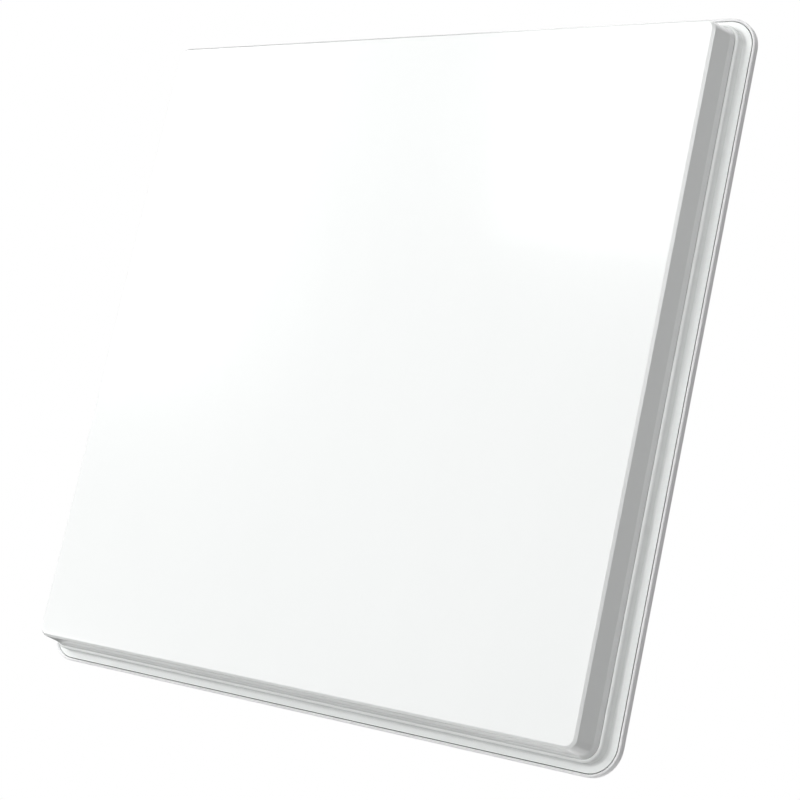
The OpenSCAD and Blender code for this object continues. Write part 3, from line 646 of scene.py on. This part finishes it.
def frame_ring():
    """Carrier frame: inner ledge, bead, cove and flange in one closed profile, and its bosses."""
    ledge_in = SEAM_O - LEDGE_W
    bead = arc((SEAM_O, LEDGE_Z - BEAD_R), BEAD_R, 90, 0, 14)
    cove = arc((FRAME_O + COVE_R, FLANGE_Z + COVE_R), COVE_R, 180, 270, 14)
    flange = fillet([
        (FLANGE_O - 1 * MM, FLANGE_Z, 0),
        (FLANGE_O, FLANGE_Z, LEDGE_EDGE_R),
        (FLANGE_O, FLANGE_LOW_Z, FLANGE_LOW_R),
        (FLANGE_O - 1 * MM, FLANGE_LOW_Z, 0)])
    inner = fillet([
        (FRAME_O, FLANGE_LOW_Z, 0),
        (FRAME_O - FRAME_T, FLANGE_LOW_Z, FREE_EDGE_R),
        (FRAME_O - FRAME_T, LEDGE_Z - FRAME_T, INNER_R),
        (ledge_in, LEDGE_Z - FRAME_T, LEDGE_EDGE_R),
        (ledge_in, LEDGE_Z, LEDGE_EDGE_R),
        (0, LEDGE_Z, 0)])
    ring = stand(np.array(rings_of(np.concatenate([bead, cove, flange, inner]))))
    ledge_low = LEDGE_Z - FRAME_T
    bosses = screw_bosses(TRAY_T, ledge_low + BURIED, COVER_HALF - CORNER_R - SCREW_INSET / 3)
    points, faces = closed_shells([ring] + bosses)
    return piece("moulded_frame", points, faces, FINISHES["frame_white"])


def spring_coil():
    """Return spring: a helix of round wire between the bar's arm and the anchor.

    The wire's line is (x, r cos a, r sin a) about the spring's axis, with x growing evenly
    as the angle a turns.
    """
    low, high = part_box("bar_spring")
    centre = (low + high) / 2
    mean_r = (high.z - low.z) / 2 - SPRING_WIRE_R
    angle = np.linspace(0, 2 * np.pi * SPRING_TURNS, SPRING_TURNS * STEPS_PER_TURN + 1)
    along = np.linspace(low.x + SPRING_WIRE_R, high.x - SPRING_WIRE_R, len(angle))
    line = np.column_stack([along, centre.y + mean_r * np.cos(angle), centre.z + mean_r * np.sin(angle)])
    points, faces = wires([line], SPRING_WIRE_R)
    return piece("wound_spring", points, faces, FINISHES["spring_steel"])


def jack_contacts():
    """Straight gilt wires side by side in the data socket, one pitch apart.

    Each starts near the socket's top and runs down, leaning away from its rear side.
    """
    low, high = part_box("ethernet_jack")
    middle = (low.x + high.x) / 2
    paths = []
    for number in range(CONTACTS):
        x = middle + (number - (CONTACTS - 1) / 2) * CONTACT_PITCH
        path = []
        for depth in CONTACT_DEPTHS:
            forward = CONTACT_BACK + CONTACT_LEAN * (depth - CONTACT_DEPTHS[0]) * MM
            path.append((x, high.y - forward, high.z - depth * MM))
        paths.append(path)
    points, faces = wires(paths, CONTACT_R)
    return piece("jack_contacts", points, faces, FINISHES["gold_contact"])


# ---------------------------------------------------------------- studio

AZIMUTH = 37.42            # degrees round the panel, seen from its right
ELEVATION = -9.32          # a little below it
ROLL = 12.25
DISTANCE = 1.5645
AIM = Vector((0.0156, 0.0172, -0.0252))
LENS = 83.12               # millimetres, as the sensor's width is
SENSOR_WIDTH = 36


def towards(round_from_front, above):
    """Direction from the panel: degrees round from its front to its right, and above level."""
    turn, lift = math.radians(round_from_front), math.radians(above)
    return Vector((math.sin(turn) * math.cos(lift), -math.cos(turn) * math.cos(lift), math.sin(lift)))


def make_camera():
    """Camera in front of the panel's right side, a little below it and tilted."""
    back = towards(AZIMUTH, ELEVATION)
    camera = bpy.data.objects.new("camera", bpy.data.cameras.new("camera"))
    bpy.context.scene.collection.objects.link(camera)
    camera.rotation_mode = "QUATERNION"
    camera.location = AIM + DISTANCE * back
    level = (-back).to_track_quat("-Z", "Y")
    camera.rotation_quaternion = Quaternion(back, math.radians(ROLL)) @ level
    camera.data.lens = LENS
    camera.data.sensor_width = SENSOR_WIDTH
    bpy.context.scene.camera = camera


LIGHT_DISTANCE = 2.3
BOX_SIZE = 1.0
WALL_SIZE = 2.4            # the wide ones behind, which the bare metal mirrors

# Soft boxes: name, degrees round from the panel's front towards its right, degrees above level,
# how strongly each lights a surface facing it, and size. Most light comes from the front left,
# so the right side and the hollows of the rim stay grey.
SOFT_BOXES = [
    ("left_low", -60, -20, 0.5, BOX_SIZE),
    ("left_high", -60, 20, 1.0, BOX_SIZE),
    ("front", 0, 0, 1.2, BOX_SIZE),
    ("front_low", -20, -30, 0.4, BOX_SIZE),
    ("front_high", -20, 30, 0.6, BOX_SIZE),
    ("front_right", 30, 0, 0.5, BOX_SIZE),
    ("right_front", 60, 20, 0.5, BOX_SIZE),
    ("right", 90, 0, 0.2, BOX_SIZE),
    ("top", 0, 90, 0.4, BOX_SIZE),
    ("back_high", -170, 40, 1.4, WALL_SIZE),
    ("back_low", 180, -25, 1.7, WALL_SIZE),
]


def soft_light(name, round_from_front, above, strength, size):
    """A square soft box facing the panel; its power makes up for the distance."""
    toward = towards(round_from_front, above)
    lamp = bpy.data.lights.new(name, "AREA")
    lamp.shape = "SQUARE"
    lamp.size = size
    lamp.energy = strength * math.pi * LIGHT_DISTANCE ** 2
    box = bpy.data.objects.new(name, lamp)
    bpy.context.scene.collection.objects.link(box)
    box.location = LIGHT_DISTANCE * toward
    box.visible_camera = False
    box.rotation_mode = "QUATERNION"
    box.rotation_quaternion = (-toward).to_track_quat("-Z", "Y")


WALLS_CHANGE = (-0.9, 0.7)     # where in the Y direction the walls' tone begins and ends to change
WALLS_GLOW = (0.01, 0.10)      # their strength in front of the panel and behind it


def make_surroundings():
    """White backdrop, and dim studio walls, a little brighter behind the panel than in front."""
    world = bpy.data.worlds.new("studio")
    bpy.context.scene.world = world
    world.use_nodes = True
    tree = world.node_tree
    tree.nodes.clear()

    def node(kind, **settings):
        made = tree.nodes.new(kind)
        for name, value in settings.items():
            setattr(made, name, value)
        return made

    where = node("ShaderNodeTexCoord")
    split = node("ShaderNodeSeparateXYZ")
    tree.links.new(where.outputs["Generated"], split.inputs[0])
    walls = node("ShaderNodeMapRange", clamp=True, interpolation_type="SMOOTHSTEP")
    for socket, value in zip(list(walls.inputs)[1:5], WALLS_CHANGE + WALLS_GLOW):
        socket.default_value = value
    tree.links.new(split.outputs["Y"], walls.inputs[0])
    seen = node("ShaderNodeBackground")
    seen.inputs["Color"].default_value = (1, 1, 1, 1)
    seen.inputs["Strength"].default_value = 1.0
    lit = node("ShaderNodeBackground")
    lit.inputs["Color"].default_value = (1, 1, 1, 1)
    tree.links.new(walls.outputs[0], lit.inputs["Strength"])
    path = node("ShaderNodeLightPath")
    both = node("ShaderNodeMixShader")
    tree.links.new(path.outputs["Is Camera Ray"], both.inputs[0])
    tree.links.new(lit.outputs[0], both.inputs[1])
    tree.links.new(seen.outputs[0], both.inputs[2])
    out = node("ShaderNodeOutputWorld")
    tree.links.new(both.outputs[0], out.inputs[0])


FLOOR_Z = -2.4
FLOOR_R = 1.6
FLOOR_SIDES = 64


def make_floor():
    """Pale round floor, well below the panel."""
    f = Finish("floor_pale")
    speck = f.noise(8, detail=4)
    material = f.done(color=f.mix(speck, (0.9, 0.9, 0.9), (0.86, 0.86, 0.86)), rough=0.6)
    angle = np.linspace(0, 2 * np.pi, FLOOR_SIDES, endpoint=False)
    height = np.full(FLOOR_SIDES, FLOOR_Z)
    outline = np.column_stack([FLOOR_R * np.cos(angle), FLOOR_R * np.sin(angle), height])
    piece("floor", outline, [list(range(FLOOR_SIDES))], material, smooth=False)


# ---------------------------------------------------------------- assembly

finish_cad_nodes()
cover = cover_shell()
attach(cover, "panel")
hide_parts("front_cover")
carrier = frame_ring()
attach(carrier, "panel")
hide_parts("carrier_frame")
coil = spring_coil()
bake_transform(coil)
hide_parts("bar_spring")

contacts = jack_contacts()
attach(contacts, "panel")

make_camera()
make_surroundings()
make_floor()
for settings in SOFT_BOXES:
    soft_light(*settings)
bpy.context.scene.view_settings.view_transform = "Standard"
